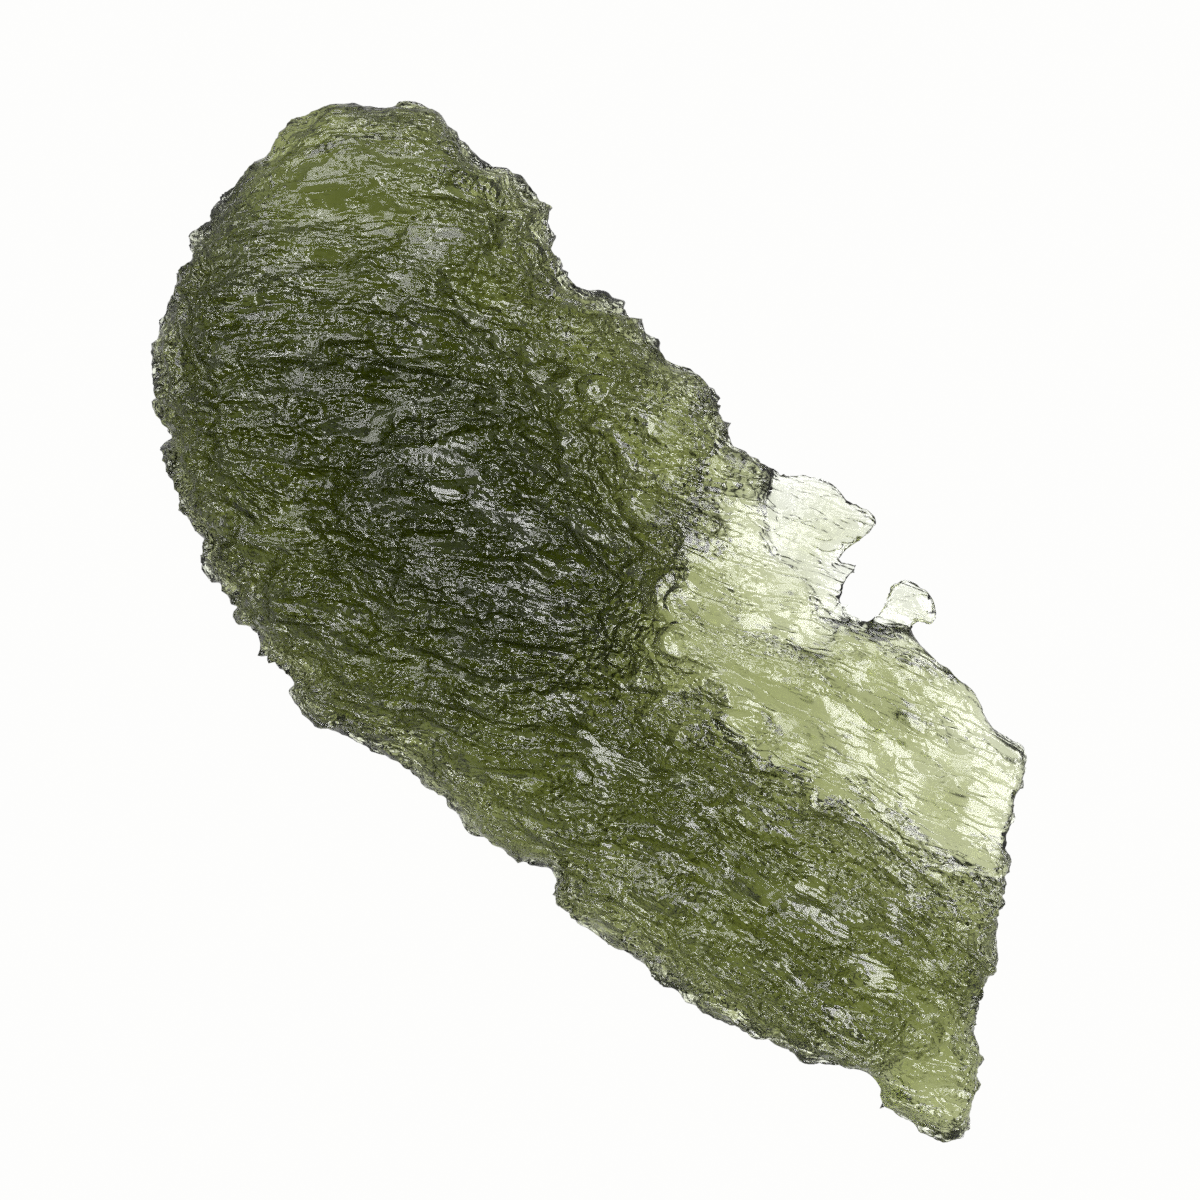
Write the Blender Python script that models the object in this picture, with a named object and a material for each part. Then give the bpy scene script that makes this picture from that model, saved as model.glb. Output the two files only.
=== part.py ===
"""A moldavite: one natural piece of green glass, etched into ridges and pits all over.

It is thick at its round end, thin along the back edge, where three clear flakes stand out,
and broken off straight at the other end. It lies on a small flat spot.

The frame has +X along the stone from the round end to the broken end, +Y towards the edge
with the flakes and +Z up. Its origin is under the middle of the stone's box, on the ground.
Lengths are in millimetres up to the last step, which turns them into Blender's metres.
"""

from math import cos, exp, radians, sin, tau

import bmesh
import bpy
from mathutils import Vector, noise
from mathutils.geometry import delaunay_2d_cdt

# Driving dimensions
LENGTH = 37.8
HEIGHT = 7.0
FLAKE_THICKNESS = 0.45
EDGE_THICKNESS = 0.24
SCOOP_DEPTH = 1.25
MM = 0.001

# The outline seen from above, clockwise from the round end, a stretch at a time
ROUND_END = [
    (-16.9, -3.2), (-17.25, -2.9), (-17.35, -2.3), (-18.05, -1.15), (-17.95, -0.6),
    (-18.2, 0.0), (-18.5, 1.3), (-18.78, 2.9), (-18.45, 4.6), (-18.1, 5.15),
    (-17.3, 5.8), (-16.7, 6.65), (-15.6, 7.05), (-15.0, 6.98),
]  # fmt: skip
BACK_EDGE = [
    (-14.4, 7.0), (-13.2, 7.4), (-12.0, 7.68), (-11.3, 7.68), (-10.6, 7.02), (-9.9, 6.9),
    (-9.5, 6.6), (-8.75, 7.1), (-8.1, 7.2), (-7.6, 7.5), (-7.1, 7.38), (-6.1, 7.5),
    (-5.8, 7.28), (-4.9, 7.52), (-4.0, 7.88), (-3.0, 7.55), (-2.7, 7.3), (-0.9, 7.36),
]  # fmt: skip
FLAKES = [
    (-0.45, 7.6), (-0.1, 8.0), (0.5, 8.3), (1.5, 8.56), (2.6, 8.9), (2.93, 8.72),
    (2.9, 7.8), (2.86, 6.95), (3.08, 7.2), (3.35, 7.42), (3.62, 7.25), (3.75, 6.7),
    (4.1, 6.1), (4.5, 6.18), (4.72, 6.45), (4.75, 7.0), (4.45, 7.85), (4.8, 8.2),
    (5.55, 8.52), (6.05, 8.4), (6.3, 8.1), (6.25, 7.75), (5.75, 7.32),
]  # fmt: skip
FLAKE_ROOT = [
    (-0.4, 7.2), (0.05, 6.6), (0.6, 6.1), (1.4, 5.85), (2.3, 5.9), (2.9, 5.75),
    (3.4, 5.45), (4.0, 5.5), (4.5, 5.95), (5.5, 6.95),
]  # fmt: skip
THIN_EDGE = [
    (6.2, 7.22), (7.4, 7.32), (8.7, 7.44), (10.2, 7.12), (11.1, 7.38), (11.5, 7.12),
    (11.75, 6.7),
]  # fmt: skip
BROKEN_END = [
    (12.0, 6.35), (12.95, 5.15), (14.1, 3.8), (15.0, 2.5), (15.4, 2.35), (15.9, 1.6),
    (16.4, 0.6), (17.1, 0.0), (17.9, -0.6), (18.35, -1.05), (18.7, -1.5), (18.92, -2.42),
]  # fmt: skip
FRONT_EDGE = [
    (18.4, -2.85), (17.4, -3.2), (16.5, -3.58), (16.0, -3.4), (15.3, -3.5), (14.0, -4.2),
    (12.2, -4.9), (10.2, -5.7), (8.2, -6.05), (6.6, -6.6), (5.9, -6.8), (5.0, -6.8),
    (4.2, -6.42), (3.2, -6.75), (2.0, -7.3), (1.4, -7.36), (0.2, -7.15), (-1.3, -7.3),
    (-2.4, -7.75), (-3.5, -8.18), (-3.85, -8.45), (-5.05, -8.66), (-5.6, -8.5),
    (-5.9, -8.2), (-6.9, -8.45), (-8.2, -8.35), (-9.4, -7.85), (-10.1, -7.92),
    (-10.6, -7.7), (-10.8, -7.32), (-11.1, -7.18), (-11.6, -7.35), (-12.6, -7.0),
    (-13.5, -6.7), (-14.5, -5.8), (-15.0, -5.7), (-15.7, -4.9), (-16.3, -4.4),
    (-16.55, -3.85),
]  # fmt: skip
OUTLINE = ROUND_END + BACK_EDGE + FLAKES + THIN_EDGE + BROKEN_END + FRONT_EDGE
THICK_BODY = ROUND_END + BACK_EDGE + FLAKE_ROOT + THIN_EDGE + BROKEN_END + FRONT_EDGE

# Heights of the upper face at spots on it: x, y, how far the spot counts, height
UPPER_SPOTS = [
    (-17.4, 2.6, 1.8, 5.1), (-14.6, 3.2, 2.2, 5.2), (-13.8, -1.6, 2.3, 6.0),
    (-9.2, 0.2, 2.8, 7.0), (-10.0, -5.2, 2.0, 4.9), (-9.6, 5.4, 2.0, 4.0),
    (-4.2, -1.2, 2.8, 6.7), (-4.4, 4.8, 2.0, 2.9), (-4.4, -6.2, 1.8, 4.5),
    (-1.6, 0.0, 1.3, 5.8), (-1.6, 4.2, 1.4, 3.1), (-1.2, 6.4, 1.3, 2.9),
    (1.6, -3.2, 2.2, 5.0), (1.4, -6.2, 1.5, 3.4), (2.6, 2.4, 1.7, 3.0),
    (6.4, -2.8, 2.2, 4.4), (6.4, -5.6, 1.4, 3.2), (6.8, 4.6, 2.4, 3.3),
    (10.8, -2.0, 2.2, 4.4), (10.9, 3.8, 1.9, 3.1), (14.4, -0.4, 2.0, 3.9),
    (17.7, -1.7, 1.4, 2.0),
]  # fmt: skip

# The underside: the flat spot's middle, and how the face bows up away from it
FLAT_SPOT = (-3.6, -0.7)
BOW_LENGTH_ROUND_END = 14.0
BOW_LENGTH_BROKEN_END = 21.0
BOW_WIDTH = 7.4
BOW_ALONG = 1.0
BOW_ACROSS = 0.7
FLAT_SPOT_CUT = 0.09
FULL_RELIEF_BOW = 0.25

# The scoop in the underside that leaves the glass thin behind the flakes. It slopes up from
# a line across the stone and from a slanting line along it.
SCOOP_START = -2.5
SCOOP_SIDE_POINT = (5.4, -2.3)
SCOOP_SIDE_ANGLE = radians(25)
SCOOP_END_SLOPE = 2.8
SCOOP_SIDE_SLOPE = 4.4
SCOOP_WANDER = 2.2
SCOOP_WANDER_LENGTH = 3.4

# Round pits that burst bubbles left, and shallow dents, in the upper face: x, y, radius, depth
BUBBLE_PITS = [(0.35, 2.5, 1.05, 0.38), (1.4, 1.4, 0.6, 0.2)]
DENTS = [
    (12.9, -0.9, 1.1, 0.24), (13.4, -2.3, 1.2, 0.22), (-6.4, -0.7, 0.9, 0.26),
    (-2.6, 4.2, 1.0, 0.24), (-5.6, 4.6, 0.8, 0.22), (-10.2, 3.9, 1.2, 0.32),
    (-15.6, 5.9, 1.0, 0.24), (-9.0, -3.6, 1.2, 0.22), (5.6, 1.2, 1.3, 0.22),
    (-5.0, -6.9, 1.3, 0.26),
]  # fmt: skip

# The ridges that etching left along the flow of the glass
FLOW_ANGLE_ROUND_END = radians(44)
FLOW_ANGLE_BROKEN_END = radians(22)
RIDGE_LENGTH = 6.5
RIDGE_SPACING = 1.5
RIDGE_HEIGHT = 0.36
LUMP_SIZE = 2.6
LUMP_HEIGHT = 0.16
UPPER_FACE_SEED = 3.0
UNDERSIDE_SEED = 31.0
LUMP_SEED_STEP = 9.0

# The edge: how wide its slope is for the thickness behind it, also where a flake joins it, how
# high its rim runs in that thickness, and the teeth along it
EDGE_SHARE = 0.42
FLAKE_ROOT_SHARE = 1.3
FLAKE_ROOT_BLEND = 0.9
EDGE_WIDTH_MOST = 2.6
EDGE_WIDTH_LEAST = 0.3
EDGE_ROUNDNESS = 1.4
RIM_SHARE = 0.42
RIM_WANDER = 0.3
RIM_WANDER_LENGTH = 5.5
TOOTH_SPACING = 0.62
TOOTH_HEIGHT = 0.16

# The break is a steep face along this line, as wide in plan as this share of the thickness
BREAK_LINE = (Vector((11.8, 6.7)), Vector((18.0, -1.0)))
BREAK_SHARE = 0.14
BREAK_REACH = 1.3

# Roughness that stands out from every face, the edge's sides too
ROUGH_SIZE = 1.5
ROUGH_HEIGHT = 0.2

# Spacing of the points that carry the surface
OUTLINE_STEP = 0.36
GRID_STEP = 0.66
LEAST_GAP = 0.18
EDGE_RINGS = [(0.26, 1), (0.66, 2)]  # distance in from the body's edge, and every how many points
PIT_RINGS = [(1.0, 14), (0.75, 10), (0.4, 6)]  # share of a pit's radius, and how many points
PIT_CLEARANCE = 0.3

GLASS_COLOUR = (0.16, 0.21, 0.05, 1.0)
GLASS_ROUGHNESS = 0.25
GLASS_IOR = 1.49


def clear_scene():
    for thing in list(bpy.data.objects):
        bpy.data.objects.remove(thing)


def smooth_curve(points):
    """A closed curve through the points, as short straight steps of about OUTLINE_STEP."""
    count = len(points)
    curve = []
    for i in range(count):
        before, start, end, after = (Vector(points[(i + k) % count]) for k in (-1, 0, 1, 2))
        steps = max(1, round((end - start).length / OUTLINE_STEP))
        for step in range(steps):
            t = step / steps
            bend = 2 * before - 5 * start + 4 * end - after
            twist = 3 * start - before - 3 * end + after
            curve.append(start + 0.5 * t * ((end - before) + t * (bend + t * twist)))
    return curve


def outward_normals(curve):
    """The way out of a clockwise curve at each of its points."""
    count = len(curve)
    normals = []
    for i in range(count):
        along = curve[(i + 1) % count] - curve[i - 1]
        normals.append(Vector((-along.y, along.x)).normalized())
    return normals


def toothed(curve):
    """The curve with the small uneven teeth of an etched edge."""
    made = []
    for point, normal in zip(curve, outward_normals(curve)):
        tooth = noise.noise(Vector((*point, 0.0)) / TOOTH_SPACING)
        made.append(point + normal * tooth * TOOTH_HEIGHT)
    return made


def inside(point, curve):
    """True if the point lies inside the closed curve."""
    found = False
    previous = curve[-1]
    for corner in curve:
        if (corner.y > point.y) != (previous.y > point.y):
            share = (point.y - corner.y) / (previous.y - corner.y)
            if point.x < corner.x + share * (previous.x - corner.x):
                found = not found
        previous = corner
    return found


def depth_inside(point, curve):
    """How far the point is inside the curve: its distance to it, or less than 0 outside."""
    nearest = float("inf")
    previous = curve[-1]
    for corner in curve:
        side = corner - previous
        share = max(0.0, min(1.0, (point - previous).dot(side) / side.length_squared))
        nearest = min(nearest, (point - previous - side * share).length)
        previous = corner
    return nearest if inside(point, curve) else -nearest


def blend_of_spots(x, y, spots):
    """A smooth height between the spots, each of which counts most near itself."""
    total = weights = 0.0
    for spot_x, spot_y, reach, height in spots:
        weight = exp(-((x - spot_x) ** 2 + (y - spot_y) ** 2) / (2 * reach**2))
        total += weight * height
        weights += weight
    return total / weights


def bowl(x, y, middle_x, middle_y, radius):
    """1 in the middle of a round bowl, falling to 0 at its rim and beyond."""
    return max(0.0, 1 - ((x - middle_x) ** 2 + (y - middle_y) ** 2) / radius**2)


def ramp(share):
    """Rises smoothly from 0 to 1 as the share does."""
    share = min(1.0, max(0.0, share))
    return share * share * (3 - 2 * share)


def relief(x, y, seed):
    """Ridges drawn out along the flow of the glass, on low lumps."""
    share = (x + LENGTH / 2) / LENGTH
    angle = FLOW_ANGLE_ROUND_END + (FLOW_ANGLE_BROKEN_END - FLOW_ANGLE_ROUND_END) * share
    along = x * cos(angle) + y * sin(angle)
    across = y * cos(angle) - x * sin(angle)
    ridge = noise.noise(Vector((along / RIDGE_LENGTH, across / RIDGE_SPACING, seed)))
    lump = noise.noise(Vector((x / LUMP_SIZE, y / LUMP_SIZE, seed + LUMP_SEED_STEP)))
    return RIDGE_HEIGHT * (0.5 - 2 * abs(ridge)) + LUMP_HEIGHT * lump


def upper_face(x, y):
    height = blend_of_spots(x, y, UPPER_SPOTS) + relief(x, y, UPPER_FACE_SEED)
    for dent_x, dent_y, radius, depth in BUBBLE_PITS + DENTS:
        height -= depth * bowl(x, y, dent_x, dent_y, radius)
    return height


def scoop(x, y):
    """How much of its full depth the scoop in the underside has above this place."""
    side_x, side_y = SCOOP_SIDE_POINT
    wander = SCOOP_WANDER * noise.noise_vector(Vector((x, y, 0.0)) / SCOOP_WANDER_LENGTH)
    x, y = x + wander.x, y + wander.y
    in_from_side = (y - side_y) * cos(SCOOP_SIDE_ANGLE) - (x - side_x) * sin(SCOOP_SIDE_ANGLE)
    from_end = ramp((x - SCOOP_START) / SCOOP_END_SLOPE)
    return from_end * ramp(in_from_side / SCOOP_SIDE_SLOPE)


def underside(x, y):
    dx, dy = x - FLAT_SPOT[0], y - FLAT_SPOT[1]
    bow_length = BOW_LENGTH_ROUND_END if dx < 0 else BOW_LENGTH_BROKEN_END
    bow = BOW_ALONG * (dx / bow_length) ** 2 + BOW_ACROSS * (dy / BOW_WIDTH) ** 2
    relief_share = min(1.0, bow / FULL_RELIEF_BOW)
    rough = relief_share * relief(x, y, UNDERSIDE_SEED)
    return bow - FLAT_SPOT_CUT + rough + SCOOP_DEPTH * scoop(x, y)


def edge_profile(share):
    """How much of its full height a face has reached at this share of the edge's slope."""
    left = 1 - min(1.0, max(0.0, share))
    return (1 - left**EDGE_ROUNDNESS) ** (1 / EDGE_ROUNDNESS)


def edge_width(point, thickness, beyond_edge):
    """How wide the edge's slope is in plan: narrow at the break, widest beside a flake."""
    start, end = BREAK_LINE
    along = min(1.0, max(0.0, (point - start).dot(end - start) / (end - start).length_squared))
    near = max(0.0, 1 - (point - start.lerp(end, along)).length / BREAK_REACH)
    share = EDGE_SHARE + (BREAK_SHARE - EDGE_SHARE) * edge_profile(near)
    share += (FLAKE_ROOT_SHARE - share) * ramp(beyond_edge / FLAKE_ROOT_BLEND)
    return max(EDGE_WIDTH_LEAST, min(EDGE_WIDTH_MOST, share * thickness))


def faces_at(point, body, outline):
    """Heights of the underside and the upper face above a point of the sheet."""
    top, bottom = upper_face(*point), underside(*point)
    wander = noise.noise(Vector((*point, 0.0)) / RIM_WANDER_LENGTH)
    rim = bottom + (RIM_SHARE + RIM_WANDER * wander) * (top - bottom)
    depth_in_body, depth_in_outline = depth_inside(point, body), depth_inside(point, outline)
    width = edge_width(point, top - bottom, depth_in_outline - depth_in_body)
    share = edge_profile(depth_in_body / width)
    in_flake = edge_profile(depth_in_outline / EDGE_WIDTH_LEAST)
    half = 0.5 * (EDGE_THICKNESS + (FLAKE_THICKNESS - EDGE_THICKNESS) * in_flake)
    low, high = rim - half, rim + half
    return low + (bottom - low) * share, high + (top - high) * share


def points_along_edge(outline, body):
    """Rings of points just inside the body's edge, and the edge itself under the flakes."""
    points = [point for point in body if depth_inside(point, outline) > LEAST_GAP]
    normals = outward_normals(body)
    for inset, every in EDGE_RINGS:
        for point, normal in list(zip(body, normals))[::every]:
            moved = point - normal * inset
            if depth_inside(moved, body) > inset - 0.5 * LEAST_GAP:
                points.append(moved)
    return points


def points_in_pits():
    points = []
    for x, y, radius, _ in BUBBLE_PITS:
        points.append(Vector((x, y)))
        for share, count in PIT_RINGS:
            for i in range(count):
                turn = tau * i / count
                points.append(Vector((x + share * radius * cos(turn), y + share * radius * sin(turn))))
    return points


def clear_of_pits(point):
    for x, y, radius, _ in BUBBLE_PITS:
        if (point - Vector((x, y))).length < radius + PIT_CLEARANCE:
            return False
    return True


def points_on_grid(outline, body):
    """A grid of triangles over the body and the flakes, clear of the other points."""
    points = []
    clear_of_edge = EDGE_RINGS[-1][0] + 0.5 * GRID_STEP
    row_step = GRID_STEP * sin(radians(60))
    rows = int(LENGTH / row_step)
    for row in range(-rows // 2, rows // 2):
        for column in range(-rows, rows):
            spot = Vector(((column + 0.5 * (row % 2)) * GRID_STEP, row * row_step))
            in_body = depth_inside(spot, body)
            in_flake = in_body < -LEAST_GAP and depth_inside(spot, outline) > LEAST_GAP
            if in_flake or (in_body > clear_of_edge and clear_of_pits(spot)):
                points.append(spot)
    return points


def sheet_inside(outline, body):
    """A flat mesh of triangles that fills the outline."""
    border = list(range(len(outline)))
    points = outline + points_along_edge(outline, body) + points_in_pits()
    points += points_on_grid(outline, body)
    filled = delaunay_2d_cdt(points, [], [border], 1, 1e-6)
    sheet = bmesh.new()
    for point in filled[0]:
        sheet.verts.new((*point, 0.0))
    sheet.verts.ensure_lookup_table()
    for corners in filled[2]:
        sheet.faces.new([sheet.verts[i] for i in corners])
    return sheet


def roughen(stone):
    """Pushes every face in and out along its own direction, and cuts the flat spot."""
    stone.normal_update()
    moves = [v.normal * noise.noise(v.co / ROUGH_SIZE) * ROUGH_HEIGHT for v in stone.verts]
    for vert, move in zip(stone.verts, moves):
        vert.co += move
        vert.co.z = max(0.0, vert.co.z)


def stone_mesh():
    """The sheet extruded once, with its lower and upper copies moved to the stone's faces."""
    body = toothed(smooth_curve(THICK_BODY))
    outline = toothed(smooth_curve(OUTLINE))
    stone = sheet_inside(outline, body)
    lower = list(stone.verts)
    heights = [faces_at(vert.co.xy, body, outline) for vert in lower]
    extruded = bmesh.ops.extrude_face_region(stone, geom=stone.faces[:], use_keep_orig=True)
    upper = [thing for thing in extruded["geom"] if isinstance(thing, bmesh.types.BMVert)]
    above = {tuple(vert.co.xy): vert for vert in upper}
    for vert, (bottom, top) in zip(lower, heights):
        above[tuple(vert.co.xy)].co.z = top
        vert.co.z = bottom
    bmesh.ops.recalc_face_normals(stone, faces=stone.faces)
    roughen(stone)
    return stone


def set_to_size(stone):
    """Scales the stone to its length and height, and puts the origin under its middle."""
    low = Vector([min(vert.co[k] for vert in stone.verts) for k in range(3)])
    high = Vector([max(vert.co[k] for vert in stone.verts) for k in range(3)])
    size = high - low
    middle = Vector(((low.x + high.x) / 2, (low.y + high.y) / 2, low.z))
    in_plan = LENGTH / size.x * MM
    bmesh.ops.translate(stone, verts=stone.verts, vec=-middle)
    bmesh.ops.scale(stone, verts=stone.verts, vec=(in_plan, in_plan, HEIGHT / size.z * MM))


def glass():
    material = bpy.data.materials.new("moldavite_glass")
    material.use_nodes = True
    shader = material.node_tree.nodes["Principled BSDF"]
    shader.inputs["Base Color"].default_value = GLASS_COLOUR
    shader.inputs["Roughness"].default_value = GLASS_ROUGHNESS
    shader.inputs["Metallic"].default_value = 0.0
    shader.inputs["IOR"].default_value = GLASS_IOR
    return material


def make_moldavite():
    stone = stone_mesh()
    set_to_size(stone)
    mesh = bpy.data.meshes.new("moldavite")
    stone.to_mesh(mesh)
    stone.free()
    mesh.materials.append(glass())
    moldavite = bpy.data.objects.new("moldavite", mesh)
    bpy.context.scene.collection.objects.link(moldavite)


clear_scene()
make_moldavite()
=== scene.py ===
"""The finish of a moldavite: bottle-green natural glass, etched by the soil that it lay in.

The stone's own solid gives the shape. A fine copy of it gets the etching: long and short
grooves along the flow of the glass, narrow furrows, and cups with sharp rims. Bubble pits and
a few chips are cut into it. Finer grain than that is bump in the glass. The glass is clear
and takes its colour from its depth.

The camera looks straight down on the stone. The lit panel is well below it, as it would be
under a sheet of clear glass, and that sheet isn't made.
Lengths in the etching are in millimetres. Everything else is in metres.
"""

from math import cos, exp, radians, sin, tau

import bmesh
import bpy
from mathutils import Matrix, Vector, noise
from mathutils.bvhtree import BVHTree


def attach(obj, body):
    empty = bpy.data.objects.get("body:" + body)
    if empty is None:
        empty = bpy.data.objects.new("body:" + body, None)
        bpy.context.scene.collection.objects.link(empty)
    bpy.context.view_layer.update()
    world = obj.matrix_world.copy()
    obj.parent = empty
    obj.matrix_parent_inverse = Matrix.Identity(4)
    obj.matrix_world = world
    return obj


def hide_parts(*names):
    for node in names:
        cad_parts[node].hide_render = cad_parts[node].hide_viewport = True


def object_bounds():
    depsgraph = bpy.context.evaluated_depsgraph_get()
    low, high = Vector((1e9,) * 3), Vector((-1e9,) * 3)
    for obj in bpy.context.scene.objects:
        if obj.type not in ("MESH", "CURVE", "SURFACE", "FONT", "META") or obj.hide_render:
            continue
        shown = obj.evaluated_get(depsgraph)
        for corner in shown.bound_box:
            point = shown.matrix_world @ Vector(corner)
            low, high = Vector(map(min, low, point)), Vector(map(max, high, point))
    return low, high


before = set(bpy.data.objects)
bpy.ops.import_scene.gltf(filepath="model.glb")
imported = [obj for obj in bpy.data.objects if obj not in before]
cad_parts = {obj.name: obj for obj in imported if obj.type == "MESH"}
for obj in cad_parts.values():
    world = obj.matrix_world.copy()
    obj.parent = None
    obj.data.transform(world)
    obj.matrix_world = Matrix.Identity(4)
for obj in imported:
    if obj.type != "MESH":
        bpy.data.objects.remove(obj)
cad_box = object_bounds()

MM = 0.001
STONE = "moldavite"
LENGTH = (cad_box[1][0] - cad_box[0][0]) / MM

# The fine mesh that carries the etching
WELD = 0.0001
VOXEL = 0.11
SMOOTH_PASSES = 8
SMOOTH_FACTOR = 0.5
MOST_TRIANGLES = 192000

# Where the rays start that measure the plain mesh, and when a face counts as part of the top
ABOVE_THE_STONE = 20.0
UNDER_THE_SURFACE = 0.02
DOWN = Vector((0.0, 0.0, -1.0))
UPPER_FACE_NORMAL = 0.3

# The flow of the glass, seen from above: its direction at each end, and how it bends between
FLOW_ROUND_END = radians(46)
FLOW_BROKEN_END = radians(22)
WARP_LENGTH = 3.2
WARP_REACH = 0.55
WARP_SEED = 4

# Smooth noise stays within about this much of 0
NOISE_REACH = 0.5

# Grooves: length along the flow, spacing across it, spacing in depth, height, seed
LONG_GROOVES = (4.8, 1.15, 1.5, 0.27, 0.0)
SHORT_GROOVES = (1.7, 0.38, 0.6, 0.08, 17.0)

# Narrow furrows: length, spacing across, spacing in depth, seed, then their depth and their
# share of the width
FURROWS = (3.4, 0.75, 1.2, 60.0)
FURROW_DEPTH = 0.12
FURROW_SHARE = 0.22

# Stretches where the furrows break off: length, width, depth, seed, then how much of the
# furrows is left and how suddenly they end
FURROW_BREAKS = (2.2, 1.4, 1.0, 80.0)
FURROWS_LEFT = 0.5
FURROW_END_SHARPNESS = 2.0

# Cups, drawn out along the flow: length, width, depth, then how soon a side reaches its rim
CUPS = (1.15, 0.6, 0.11)
SMALL_CUPS = (0.38, 0.3, 0.045)
CUP_STEEPNESS = 1.6

# How strong the etching is for the thickness, and near the ground
THICKNESS_FOR_FULL_ETCHING = 3.6
ETCHING_CURVE = 1.5
LEAST_ETCHING = 0.12
REST_HEIGHT = 0.25

# How far the surface moves outwards before it is etched, and what the rim gets on top
OUTWARD = 0.09
RIM_OUTWARD = 0.22
RIM_EXTRA = 0.6

# How far the thinnest glass moves inwards
THIN_INWARD = 0.05
THIN_BELOW = 1.0
THIN_RANGE = 0.5
MOST_INWARD_SHARE = 0.15

# Windows of smooth glass between the etched patches: length and width, how much finer noise
# frays them, where they begin, and how much etching and grain is left in them
WINDOW_SIZE = (2.6, 1.0)
WINDOW_FRAY = 0.5
WINDOW_FRAY_FINENESS = 2.3
WINDOW_LEVEL = -0.2
WINDOW_EDGE = 0.16
WINDOW_ETCHING = 0.2
WINDOW_GRAIN = 0.2

# Windows are only where the surface is nearly flat
WINDOW_LEAST_UP = 0.98
WINDOW_UP_RANGE = 0.04

# Patches where the fine grain is weaker: length, width, depth, seed, then the usual share of
# the grain, how suddenly it changes, and the least share
GRAIN_PATCHES = (1.3, 0.5, 0.5, 40.0)
USUAL_PATCH_GRAIN = 0.6
PATCH_SHARPNESS = 1.4
LEAST_PATCH_GRAIN = 0.15

# How rough the fine grain is for the thickness
THICKNESS_OF_LEAST_GRAIN = 1.0
THICKNESS_OF_FULL_GRAIN = 3.6
LEAST_GRAIN = 0.12

# The spot at the round end that is worn smooth: what it takes from the grain and the etching
WORN_SPOT = Vector((-16.6, 3.0))
WORN_REACH = 4.2
WORN_GRAIN = 0.92
WORN_ETCHING = 0.5

# Round and oval pits that bubbles left: x, y, half length, half width, how far their floor is
# below the solid at the middle, and how high their wall is
BUBBLE_PITS = [
    (0.16, 2.5, 1.15, 1.15, 0.06, 1.0), (0.5, 2.42, 0.8, 0.8, 0.13, 0.4),
    (1.25, 1.45, 0.64, 0.64, 0.05, 0.6), (1.42, 1.4, 0.42, 0.42, 0.1, 0.25),
    (-2.35, 3.8, 1.1, 0.85, 0.08, 0.5), (4.6, 1.35, 1.2, 0.55, 0.08, 0.4),
    (-6.0, 5.0, 0.8, 0.6, 0.08, 0.4),
]  # fmt: skip
PIT_FLOOR_SHARE = 0.6
PIT_WALL_CURVE = 1.5
PIT_MARGIN = 2 * VOXEL

# Small flat chips whose faces look towards the main softbox: x, y, half length, half width
CHIPS = [(12.8, -0.85, 1.0, 0.45), (-6.7, -0.7, 0.5, 0.26), (2.25, -3.5, 0.45, 0.24), (4.5, -4.3, 0.4, 0.2)]
CHIPS_FACE = radians(48)
CHIP_SLOPE = 0.3
CHIP_DEPTH = 0.1
CHIP_RIPPLE = 0.012
CHIP_RIPPLE_SPACING = 0.16

# The share of the fine grain that pits and chips keep
CUT_GRAIN = 0.12

# The glass: what a millimetre of it takes from red, green and blue light, and its surface
GLASS_IOR = 1.49
ABSORBED_PER_MM = (0.520, 0.478, 0.90)
DENSITY_MARGIN = 1.2
GLASS_TINT = (0.97, 0.99, 0.93, 1.0)
GLASS_ROUGHNESS = 0.19

# Bump in the glass: specks, then dashes, lines and creases by length and width, and how
# narrow the creases are
SPECKS_PER_METRE = 5200.0
DASHES = (0.5, 0.18)
LINES = (2.4, 0.2)
CREASES = (3.0, 0.4)
CREASE_NARROWNESS = 24.0

# Heights of the bump: the grain, the lines in smooth glass and in grainy glass, the creases
GRAIN_HEIGHT = 0.34
LINE_HEIGHT = 0.018
GRAINY_LINE_HEIGHT = 0.09
CREASE_DEPTH = 0.024

# The lit panel: how far below the stone it lies, and how its light falls off outwards
PANEL_RADIUS = 1.5
PANEL_SEGMENTS = 64
PANEL_DEPTH = 60 * MM
PANEL_FULL_OUT_TO = 42 * MM
PANEL_DIM_FROM = 80 * MM
PANEL_LIGHT = 0.985
PANEL_DIM_LIGHT = 0.55
PANEL_COLOUR = (1.0, 1.0, 0.99)

# The softboxes: degrees round the stone, degrees above the ground, size, power
SOFTBOX_DISTANCE = 0.30
SOFTBOXES = {
    "main": (48, 52, 0.25, 2.2), "back": (138, 50, 0.25, 1.1), "left": (230, 44, 0.25, 0.95),
}  # fmt: skip

# The air: its light at the horizon and overhead, and how high overhead begins
AIR_AT_HORIZON = 0.66
AIR_OVERHEAD = 0.22
OVERHEAD_FROM = 0.7
AIR_COLOUR = (0.97, 0.99, 1.0, 1.0)

# The view: what the camera aims at, how it is turned, and how much it sees
AIM = Vector((-1.34, 0.57, 3.0)) * MM
CAMERA_TURN = radians(48)
VIEW_WIDTH = 37.3 * MM
LENS = 100.0
SENSOR = 36.0
NEAREST_SEEN = 0.01
FARTHEST_SEEN = 10.0

# How often light may pass on through the glass, and how often it may be reflected
MOST_BOUNCES = 24
MOST_REFLECTIONS = 8


# The plain mesh

def add_to_scene(name, data):
    """An object of this mesh, light or camera, in the scene."""
    made = bpy.data.objects.new(name, data)
    bpy.context.scene.collection.objects.link(made)
    return made


def coarse_stone():
    """The stone's solid as one closed mesh, in millimetres."""
    coarse = bmesh.new()
    coarse.from_mesh(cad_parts[STONE].data)
    bmesh.ops.scale(coarse, verts=coarse.verts, vec=(1 / MM, 1 / MM, 1 / MM))
    bmesh.ops.remove_doubles(coarse, verts=coarse.verts, dist=WELD)
    mesh = bpy.data.meshes.new("coarse_stone")
    coarse.to_mesh(mesh)
    coarse.free()
    return mesh


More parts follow.
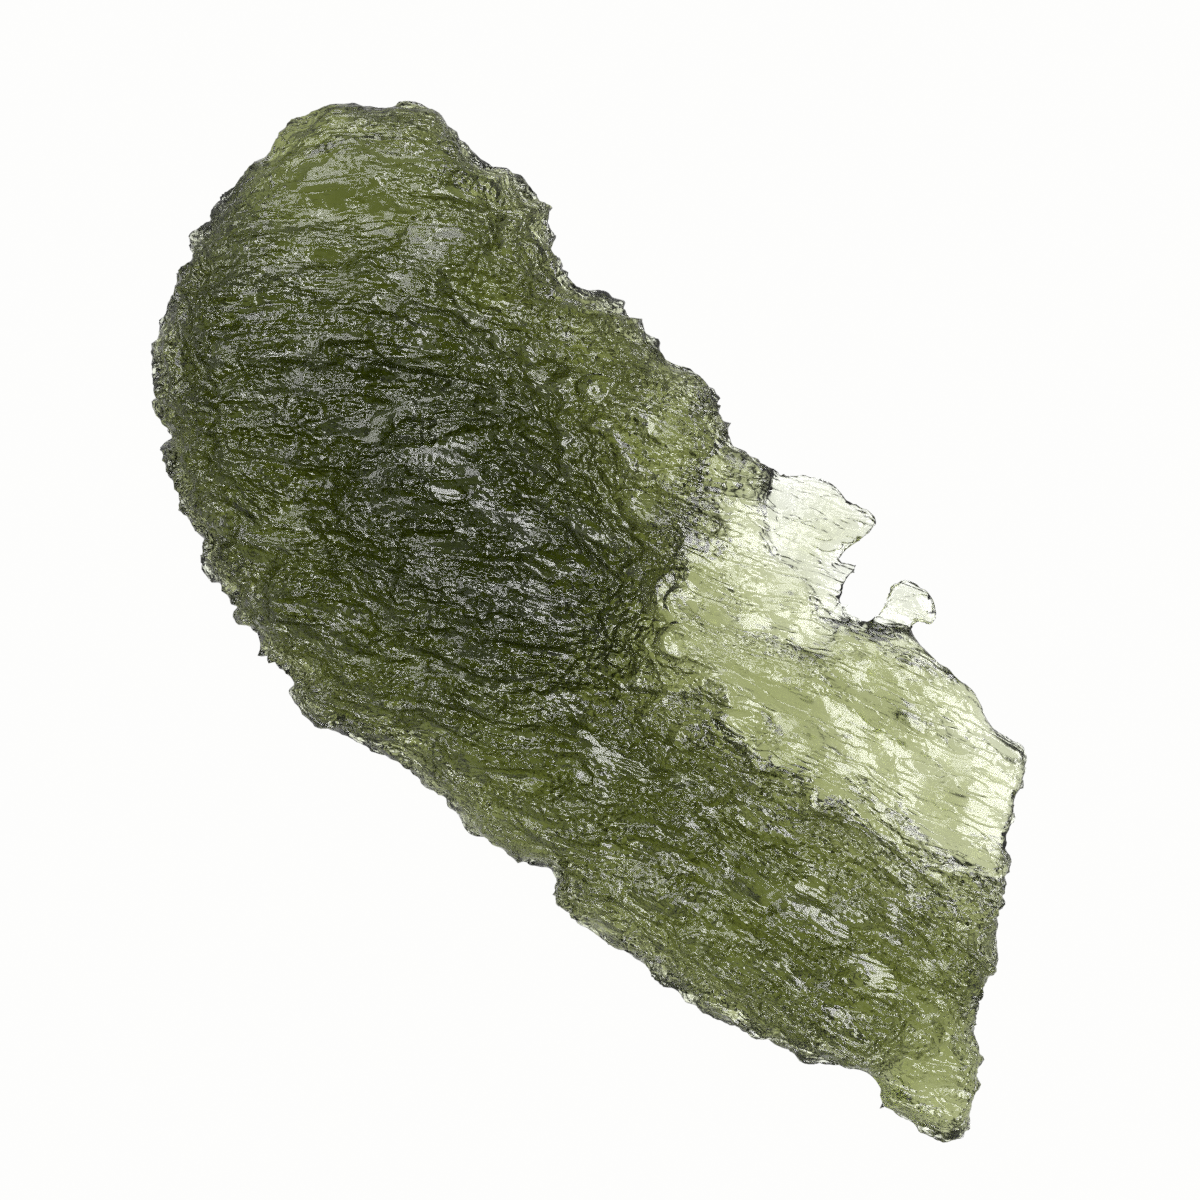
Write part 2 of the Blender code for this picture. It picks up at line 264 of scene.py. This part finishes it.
def fine_stone():
    """A fine, even mesh of the stone's solid, in millimetres."""
    holder = add_to_scene("coarse_stone", coarse_stone())
    remesh = holder.modifiers.new("even_faces", "REMESH")
    remesh.mode = "VOXEL"
    remesh.voxel_size = VOXEL
    fine = bmesh.new()
    fine.from_object(holder, bpy.context.evaluated_depsgraph_get())
    bpy.data.objects.remove(holder)
    for _ in range(SMOOTH_PASSES):
        bmesh.ops.smooth_vert(
            fine, verts=fine.verts, factor=SMOOTH_FACTOR,
            use_axis_x=True, use_axis_y=True, use_axis_z=True)
    return fine


def top_of(tree, x, y):
    """How high the plain mesh's upper face is here."""
    return tree.ray_cast(Vector((x, y, ABOVE_THE_STONE)), DOWN)[0].z


def thickness_under(tree, vert):
    """How thick the glass is, straight in from a point of the surface."""
    hit = tree.ray_cast(vert.co - vert.normal * UNDER_THE_SURFACE, -vert.normal)
    return hit[3] if hit[0] else THICKNESS_FOR_FULL_ETCHING


# The flow of the glass

def flow_place(point):
    """Where a point is along the flow, across it and in depth."""
    share = (point.x + LENGTH / 2) / LENGTH
    angle = FLOW_ROUND_END + (FLOW_BROKEN_END - FLOW_ROUND_END) * share
    along = point.x * cos(angle) + point.y * sin(angle)
    across = point.y * cos(angle) - point.x * sin(angle)
    return Vector((along, across, point.z))


def warped_flow_place(point):
    """The same place in a flow that bends and folds a little on its way."""
    return flow_place(point + noise.noise_vector(point / WARP_LENGTH) * WARP_REACH)


def flow_offset(point, middle):
    """How far a point is from the middle of a mark, along and across the flow."""
    offset = flow_place(Vector((point.x, point.y, 0.0))) - flow_place(Vector((*middle, 0.0)))
    return offset.x, offset.y


def drawn_noise(place, length, width, depth, seed=0.0):
    """Smooth noise with lumps of this length along the flow, this width and this depth."""
    return noise.noise(Vector((place.x / length, place.y / width, place.z / depth + seed)))


def ramp(share):
    """Rises smoothly from 0 to 1 as the share does."""
    share = min(1.0, max(0.0, share))
    return share * share * (3 - 2 * share)


# Etching of the surface

def grooves(place, shape):
    """Rounded grooves between sharp crests: 0 on a crest, less than 0 in a groove."""
    length, spacing, depth_spacing, height, seed = shape
    return -height * abs(drawn_noise(place, length, spacing, depth_spacing, seed)) / NOISE_REACH


def furrows(place):
    """Narrow furrows with sharp bottoms, broken into stretches: less than 0 inside a furrow."""
    inside = max(0.0, 1.0 - abs(drawn_noise(place, *FURROWS)) / FURROW_SHARE)
    unbroken = ramp(FURROWS_LEFT + FURROW_END_SHARPNESS * drawn_noise(place, *FURROW_BREAKS))
    return -FURROW_DEPTH * inside * unbroken


def cups(place, shape):
    """Cups that meet in sharp rims: 0 on a rim, less than 0 inside a cup."""
    length, width, depth = shape
    distances, _ = noise.voronoi(Vector((place.x / length, place.y / width, place.z / width)))
    return depth * (min(1.0, distances[0] ** 2 * CUP_STEEPNESS) - 1.0)


def etching(place):
    """How far the etching has moved a point of the surface outwards, at full strength."""
    height = grooves(place, LONG_GROOVES)
    height += grooves(place, SHORT_GROOVES)
    height += furrows(place)
    height += cups(place, CUPS)
    height += cups(place, SMALL_CUPS)
    return height


def etched_share(place, normal):
    """1 in an etched patch, falling to 0 in a window of smooth glass."""
    length, width = WINDOW_SIZE
    fine_length = length / WINDOW_FRAY_FINENESS
    fine_width = width / WINDOW_FRAY_FINENESS
    level = drawn_noise(place, length, width, width)
    level += WINDOW_FRAY * drawn_noise(place, fine_length, fine_width, fine_width)
    tilted = ramp((WINDOW_LEAST_UP - abs(normal.z)) / WINDOW_UP_RANGE)
    return max(tilted, ramp((level - WINDOW_LEVEL) / WINDOW_EDGE))


def worn_share(point):
    """1 in the middle of the worn spot at the round end, falling to 0 away from it."""
    away = (point.xy - WORN_SPOT).length / WORN_REACH
    return exp(-away * away)


def etching_strength(point, thickness, etched):
    """How strong the etching is here, from 0 to 1."""
    strength = max(LEAST_ETCHING, min(1.0, thickness / THICKNESS_FOR_FULL_ETCHING) ** ETCHING_CURVE)
    strength *= min(1.0, LEAST_ETCHING + max(0.0, point.z) / REST_HEIGHT)
    strength *= 1.0 - WORN_ETCHING * worn_share(point)
    return strength * (WINDOW_ETCHING + (1.0 - WINDOW_ETCHING) * etched)


def grain_strength(point, place, thickness, etched):
    """How rough the fine grain is here, from 0 to 1."""
    range_of_thickness = THICKNESS_OF_FULL_GRAIN - THICKNESS_OF_LEAST_GRAIN
    share = max(LEAST_GRAIN, min(1.0, (thickness - THICKNESS_OF_LEAST_GRAIN) / range_of_thickness))
    share *= 1.0 - WORN_GRAIN * worn_share(point)
    patch = ramp(USUAL_PATCH_GRAIN + PATCH_SHARPNESS * drawn_noise(place, *GRAIN_PATCHES))
    share *= LEAST_PATCH_GRAIN + (1.0 - LEAST_PATCH_GRAIN) * patch
    return share * (WINDOW_GRAIN + (1.0 - WINDOW_GRAIN) * etched)


def etched_move(vert, place, thickness, etched):
    """How far a point of the surface moves outwards, less where the glass is thin."""
    rim = (1.0 - abs(vert.normal.z)) ** 2
    out = etching(place) * (1.0 + RIM_EXTRA * rim) + OUTWARD + RIM_OUTWARD * rim
    out *= etching_strength(vert.co, thickness, etched)
    thinned = THIN_INWARD * ramp((THIN_BELOW - thickness) / THIN_RANGE)
    return out - min(thinned, MOST_INWARD_SHARE * thickness)


# Bubble pits and chips

def is_near_from_above(edge, middle, reach):
    """True if the edge is on the upper face and within reach of the middle."""
    corner = edge.verts[0]
    return corner.normal.z > UPPER_FACE_NORMAL and (corner.co.xy - middle).length < reach


def refine_pits(stone):
    """Halves the edges round the pits, so that their walls come out crisp."""
    for x, y, half_length, half_width, _, _ in BUBBLE_PITS:
        reach = max(half_length, half_width) + PIT_MARGIN
        near = [edge for edge in stone.edges if is_near_from_above(edge, Vector((x, y)), reach)]
        bmesh.ops.subdivide_edges(stone, edges=near, cuts=1, use_grid_fill=True)


def pit_height(point, tops):
    """The lowest pit at a point: a flat floor, then a wall that gets steeper. None outside."""
    lowest = None
    for (x, y, half_length, half_width, drop, wall), top in zip(BUBBLE_PITS, tops):
        along, across = flow_offset(point, (x, y))
        out = ((along / half_length) ** 2 + (across / half_width) ** 2) ** 0.5
        if out < 1.0:
            up_wall = max(0.0, (out - PIT_FLOOR_SHARE) / (1.0 - PIT_FLOOR_SHARE))
            height = top - drop + wall * up_wall**PIT_WALL_CURVE
            lowest = height if lowest is None else min(lowest, height)
    return lowest


def chip_height(point, tops):
    """The sloping, finely rippled face of the chip at a point, or None away from the chips."""
    for (x, y, half_length, half_width), top in zip(CHIPS, tops):
        along, across = flow_offset(point, (x, y))
        if (along / half_length) ** 2 + (across / half_width) ** 2 < 1.0:
            down = (point.xy - Vector((x, y))).dot(Vector((cos(CHIPS_FACE), sin(CHIPS_FACE))))
            ripple = CHIP_RIPPLE * sin(tau * along / CHIP_RIPPLE_SPACING)
            return top - CHIP_DEPTH - CHIP_SLOPE * down + ripple
    return None


def cut_height(point, pit_tops, chip_tops):
    """How high a pit or a chip leaves the glass, or None where neither goes below the point."""
    heights = (pit_height(point, pit_tops), chip_height(point, chip_tops))
    return min((height for height in heights if height is not None and height < point.z), default=None)


def etch(stone):
    """Moves every point of the fine mesh by the etching, or down into a pit or a chip."""
    noise.seed_set(WARP_SEED)
    stone.normal_update()
    refine_pits(stone)
    stone.normal_update()
    tree = BVHTree.FromBMesh(stone)
    pit_tops = [top_of(tree, pit[0], pit[1]) for pit in BUBBLE_PITS]
    chip_tops = [top_of(tree, chip[0], chip[1]) for chip in CHIPS]
    grain = stone.verts.layers.float.new("grain")
    flow = stone.verts.layers.float_vector.new("flow")
    moves = []
    for vert in stone.verts:
        thickness = thickness_under(tree, vert)
        place = warped_flow_place(vert.co)
        etched = etched_share(place, vert.normal)
        vert[flow] = place
        vert[grain] = grain_strength(vert.co, place, thickness, etched)
        on_top = vert.normal.z > UPPER_FACE_NORMAL
        cut = cut_height(vert.co, pit_tops, chip_tops) if on_top else None
        if cut is None:
            moves.append(vert.normal * etched_move(vert, place, thickness, etched))
        else:
            moves.append(DOWN * (vert.co.z - cut))
            vert[grain] *= CUT_GRAIN
    for vert, move in zip(stone.verts, moves):
        vert.co += move
        vert.co.z = max(0.0, vert.co.z)


# Shader maths

class Value:
    """A number in a material, for sums that are written as Python expressions."""

    def __init__(self, maker, socket):
        self.maker = maker
        self.socket = socket

    def combine(self, operation, first, second):
        made = self.maker.node("ShaderNodeMath", {"operation": operation}, {0: first, 1: second})
        return Value(self.maker, made.outputs[0])

    def __add__(self, other):
        return self.combine("ADD", self, other)

    def __radd__(self, other):
        return self.combine("ADD", other, self)

    def __sub__(self, other):
        return self.combine("SUBTRACT", self, other)

    def __rsub__(self, other):
        return self.combine("SUBTRACT", other, self)

    def __mul__(self, other):
        return self.combine("MULTIPLY", self, other)

    def __rmul__(self, other):
        return self.combine("MULTIPLY", other, self)

    def size(self):
        """The number without its sign."""
        return self.combine("ABSOLUTE", self, 0.0)

    def at_least(self, other):
        """The number, or the other one where that is larger."""
        return self.combine("MAXIMUM", self, other)


class Maker:
    """Adds the nodes of one material, or of the air."""

    def __init__(self, tree):
        self.tree = tree
        tree.nodes.clear()

    def node(self, kind, settings=None, inputs=None):
        """A node of this type: its settings first, then the values or links of its sockets."""
        made = self.tree.nodes.new(kind)
        for name, value in (settings or {}).items():
            setattr(made, name, value)
        for name, value in (inputs or {}).items():
            source = value.socket if isinstance(value, Value) else value
            if isinstance(source, bpy.types.NodeSocket):
                self.tree.links.new(source, made.inputs[name])
            else:
                made.inputs[name].default_value = source
        return made

    def value(self, kind, output, settings=None, inputs=None):
        """A node's output as a number for sums."""
        return Value(self, self.node(kind, settings, inputs).outputs[output])


def new_material(name):
    """An empty material and the maker of its nodes."""
    material = bpy.data.materials.new(name)
    material.use_nodes = True
    return material, Maker(material.node_tree)


# The glass

def flow_noise(make, flow, size):
    """Noise drawn out along the flow of the glass, with lumps of this length and width."""
    length, width = size
    drawn = make.node(
        "ShaderNodeMapping", {"vector_type": "POINT"},
        {"Vector": flow, "Scale": (1 / length, 1 / width, 1 / width)})
    return make.value(
        "ShaderNodeTexNoise", 0, None, {"Vector": drawn.outputs[0], "Scale": 1.0, "Detail": 1.0})


def fine_relief(make):
    """The normal of the glass under its grain, its flow lines and its hairline creases."""
    place = make.node("ShaderNodeTexCoord").outputs["Object"]
    flow = make.node("ShaderNodeAttribute", {"attribute_name": "flow"}).outputs["Vector"]
    strength = make.value("ShaderNodeAttribute", "Fac", {"attribute_name": "grain"})
    specks = make.value(
        "ShaderNodeTexNoise", 0, None, {"Vector": place, "Scale": SPECKS_PER_METRE, "Detail": 0.0})
    grain = (specks + flow_noise(make, flow, DASHES)) * strength * GRAIN_HEIGHT
    lines = flow_noise(make, flow, LINES) * (LINE_HEIGHT + strength * GRAINY_LINE_HEIGHT)
    off_crease = (flow_noise(make, flow, CREASES) - 0.5).size() * CREASE_NARROWNESS
    creases = (1.0 - off_crease).at_least(0.0) * CREASE_DEPTH
    height = grain + lines - creases
    bump = make.node("ShaderNodeBump", None, {"Height": height, "Strength": 1.0, "Distance": MM})
    return bump.outputs[0]


def green_depth(make):
    """The volume of the glass, which takes away most of the blue light and least of the green."""
    density = max(ABSORBED_PER_MM) / MM * DENSITY_MARGIN
    colour = [1 - absorbed / MM / density for absorbed in ABSORBED_PER_MM]
    depth = make.node(
        "ShaderNodeVolumeAbsorption", None, {"Color": (*colour, 1.0), "Density": density})
    return depth.outputs[0]


def moldavite_glass():
    """Clear, slightly frosted glass that takes its green from its depth."""
    material, make = new_material("moldavite_glass")
    glass = make.node(
        "ShaderNodeBsdfPrincipled", None,
        {"Base Color": GLASS_TINT, "Roughness": GLASS_ROUGHNESS, "IOR": GLASS_IOR,
         "Transmission Weight": 1.0, "Normal": fine_relief(make)})
    make.node(
        "ShaderNodeOutputMaterial", None,
        {"Surface": glass.outputs[0], "Volume": green_depth(make)})
    return material


def make_stone():
    """The etched stone, which stands for the plain solid."""
    stone = fine_stone()
    etch(stone)
    bmesh.ops.scale(stone, verts=stone.verts, vec=(MM, MM, MM))
    for face in stone.faces:
        face.smooth = True
    triangles = sum(len(face.verts) - 2 for face in stone.faces)
    mesh = bpy.data.meshes.new("etched_moldavite")
    stone.to_mesh(mesh)
    stone.free()
    mesh.materials.append(moldavite_glass())
    etched = add_to_scene("etched_moldavite", mesh)
    etched.modifiers.new("fewer_faces", "DECIMATE").ratio = min(1.0, MOST_TRIANGLES / triangles)
    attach(etched, "root")
    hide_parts(STONE)


# The stage

def panel_light():
    """Light that is full under the stone and dimmer away from it."""
    material, make = new_material("lit_panel")
    place = make.node("ShaderNodeTexCoord").outputs["Object"]
    distance = make.value("ShaderNodeVectorMath", "Value", {"operation": "LENGTH"}, {0: place})
    dimmed = make.value(
        "ShaderNodeMapRange", 0, {"interpolation_type": "SMOOTHSTEP"},
        {"Value": distance, "From Min": PANEL_FULL_OUT_TO, "From Max": PANEL_DIM_FROM})
    full = [PANEL_LIGHT * part for part in PANEL_COLOUR]
    dim = [PANEL_DIM_LIGHT * part for part in PANEL_COLOUR]
    colour = make.node(
        "ShaderNodeMix", {"data_type": "RGBA"},
        {0: dimmed, 6: (*full, 1.0), 7: (*dim, 1.0)})
    shine = make.node("ShaderNodeEmission", None, {"Color": colour.outputs[2], "Strength": 1.0})
    make.node("ShaderNodeOutputMaterial", None, {"Surface": shine.outputs[0]})
    return material


def lit_panel():
    """A plain, pale, lit floor."""
    floor = bmesh.new()
    bmesh.ops.create_circle(floor, cap_ends=True, segments=PANEL_SEGMENTS, radius=PANEL_RADIUS)
    mesh = bpy.data.meshes.new("lit_panel")
    floor.to_mesh(mesh)
    floor.free()
    mesh.materials.append(panel_light())
    panel = add_to_scene("lit_panel", mesh)
    panel.location.z = -PANEL_DEPTH


def softbox(name, turn, elevation, size, power):
    """A square softbox that stands at this turn round the stone and faces it."""
    light = bpy.data.lights.new(name + "_softbox", "AREA")
    light.size = size
    light.energy = power
    out = SOFTBOX_DISTANCE * cos(elevation)
    place = Vector((out * cos(turn), out * sin(turn), SOFTBOX_DISTANCE * sin(elevation)))
    lamp = add_to_scene(name + "_softbox", light)
    lamp.location = place
    lamp.rotation_euler = (AIM - place).to_track_quat("-Z", "Y").to_euler()


def studio_air():
    """Soft light from all round, paler low down than overhead."""
    world = bpy.data.worlds.new("studio_air")
    world.use_nodes = True
    make = Maker(world.node_tree)
    direction = make.node("ShaderNodeTexCoord").outputs["Generated"]
    height = make.value("ShaderNodeSeparateXYZ", "Z", None, {0: direction})
    strength = make.value(
        "ShaderNodeMapRange", 0, {"interpolation_type": "SMOOTHSTEP"},
        {"Value": height, "From Min": 0.0, "From Max": OVERHEAD_FROM,
         "To Min": AIR_AT_HORIZON, "To Max": AIR_OVERHEAD})
    air = make.node("ShaderNodeBackground", None, {"Color": AIR_COLOUR, "Strength": strength})
    make.node("ShaderNodeOutputWorld", None, {"Surface": air.outputs[0]})
    bpy.context.scene.world = world


def set_camera():
    """Looks straight down on the stone, turned so that it lies as in the photograph."""
    data = bpy.data.cameras.new("camera")
    data.lens = LENS
    data.sensor_width = SENSOR
    data.clip_start = NEAREST_SEEN
    data.clip_end = FARTHEST_SEEN
    camera = add_to_scene("camera", data)
    camera.location = AIM + Vector((0.0, 0.0, VIEW_WIDTH * LENS / SENSOR))
    camera.rotation_euler = (0.0, 0.0, CAMERA_TURN)
    bpy.context.scene.camera = camera


def set_light_paths():
    """Colours come out as they are, and light can cross the rough glass many times."""
    scene = bpy.context.scene
    scene.view_settings.view_transform = "Standard"
    scene.cycles.use_denoising = False
    scene.cycles.max_bounces = MOST_BOUNCES
    scene.cycles.transmission_bounces = MOST_BOUNCES
    scene.cycles.glossy_bounces = MOST_REFLECTIONS


make_stone()
lit_panel()
studio_air()
for side, (turn, elevation, size, power) in SOFTBOXES.items():
    softbox(side, radians(turn), radians(elevation), size, power)
set_camera()
set_light_paths()
